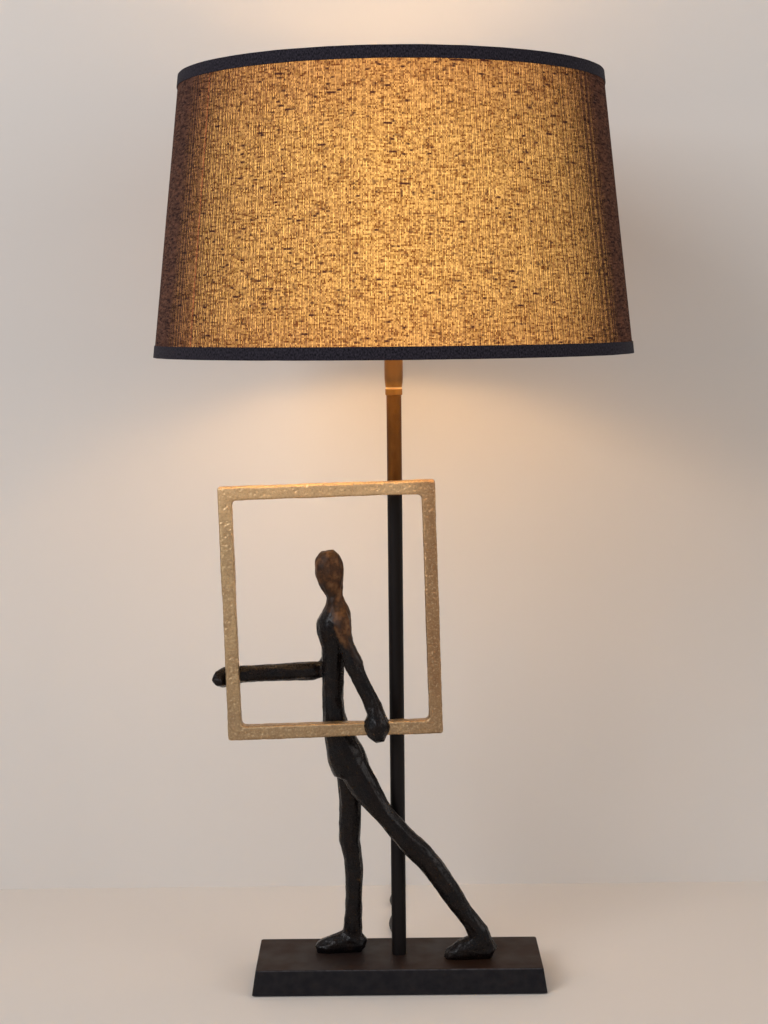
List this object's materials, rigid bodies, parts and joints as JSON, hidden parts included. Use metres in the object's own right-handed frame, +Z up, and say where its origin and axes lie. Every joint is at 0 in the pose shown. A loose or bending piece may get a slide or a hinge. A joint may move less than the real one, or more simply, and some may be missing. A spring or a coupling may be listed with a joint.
{
  "type": "figural table lamp",
  "caption": "Table lamp: a slender cast figure strides through an open square frame it holds, beside a pole with a lampholder and a tapered drum shade on a flat plinth.",
  "frame": {"origin": "on the table, under the pole's axis, in the middle of the felt's underside", "axes": "+Z up along the pole, +X to the viewer's right, +Y away from the viewer; the figure walks towards -X and the lead leaves towards +Y"},
  "size_m": [0.35, 0.497, 0.674],
  "materials": {
    "black_casting": "satin black lacquer",
    "dark_felt": "felt",
    "zinc_steel": "zinc plated",
    "antique_brass": "antique gold, black towards the foot",
    "dark_bronze": "black patina with brown highlights",
    "champagne_gold": "rough cast, antique gold paint",
    "black_holder": "satin moulded",
    "insulating_block": "moulded",
    "bare_brass": "bare",
    "nickel": "plated",
    "opal_glass": "opal",
    "shade_cloth": "woven",
    "shade_film": "matte",
    "navy_tape": "binding tape",
    "white_wire": "powder coated",
    "black_cable": "smooth sheath",
    "black_moulding": "moulded",
    "nickel_pin": "nickel plated"
  },
  "bodies": {
    "lamp": {"plinth": "black_casting", "felt_pad": "dark_felt", "lock_washer": "zinc_steel", "hex_nut": "zinc_steel", "bottom_nipple": "zinc_steel", "foot_screws": "zinc_steel", "pole_tube": "antique_brass", "top_nipple": "zinc_steel", "collar_ring": "antique_brass", "neck": "antique_brass", "socket_cap": "black_holder", "socket_insert": "insulating_block", "terminal_screws": "bare_brass", "socket_shell": "black_holder", "screw_shell": "bare_brass", "centre_contact": "bare_brass", "open_frame": "champagne_gold", "figure_body": "dark_bronze", "near_forearm": "dark_bronze", "far_arm": "dark_bronze", "inner_cores": "black_cable", "base_lead": "black_cable", "cord_bush": "black_cable", "cord_to_switch": "black_cable", "cord_to_coil": "black_cable", "cord_coil": "black_cable", "coil_tie": "black_cable", "cord_to_plug": "black_cable", "switch_base": "black_moulding", "switch_cover": "black_moulding", "switch_screws": "zinc_steel", "switch_terminals": "bare_brass", "plug_body": "black_moulding", "plug_pins": "nickel_pin", "plug_pin_sleeves": "black_moulding"},
    "shade": {"shade_fabric": "shade_cloth", "shade_liner": "shade_film", "top_trim": "navy_tape", "bottom_trim": "navy_tape", "top_wire_ring": "white_wire", "bottom_wire_ring": "white_wire", "fitter_ring": "white_wire", "spider_spokes": "white_wire"},
    "lower_ring": {"lower_shade_ring": "black_holder"},
    "upper_ring": {"upper_shade_ring": "black_holder"},
    "bulb": {"bulb_glass": "opal_glass", "bulb_cap": "nickel", "bulb_insulator": "black_moulding", "bulb_tip": "bare_brass", "light_post": "opal_glass"},
    "rocker": {"switch_rocker": "black_moulding"}
  },
  "joints": [
    {"name": "shade_turn", "type": "hinge", "parent": "lamp", "child": "shade", "pos_m": [0, 0, 0.503], "axis": [0, 0, 1], "continuous": true},
    {"name": "lower_ring_turn", "type": "hinge", "parent": "lamp", "child": "lower_ring", "pos_m": [0, 0, 0.4985], "axis": [0, 0, 1], "continuous": true},
    {"name": "upper_ring_turn", "type": "hinge", "parent": "lamp", "child": "upper_ring", "pos_m": [0, 0, 0.507], "axis": [0, 0, 1], "continuous": true},
    {"name": "bulb_turn", "type": "hinge", "parent": "lamp", "child": "bulb", "pos_m": [0, 0, 0.508], "axis": [0, 0, 1], "continuous": true},
    {"name": "rocker_tilt", "type": "hinge", "parent": "lamp", "child": "rocker", "pos_m": [0.074, 0.252, 0.013], "axis": [0, 1, 0], "range_deg": [0, 14]}
  ]
}
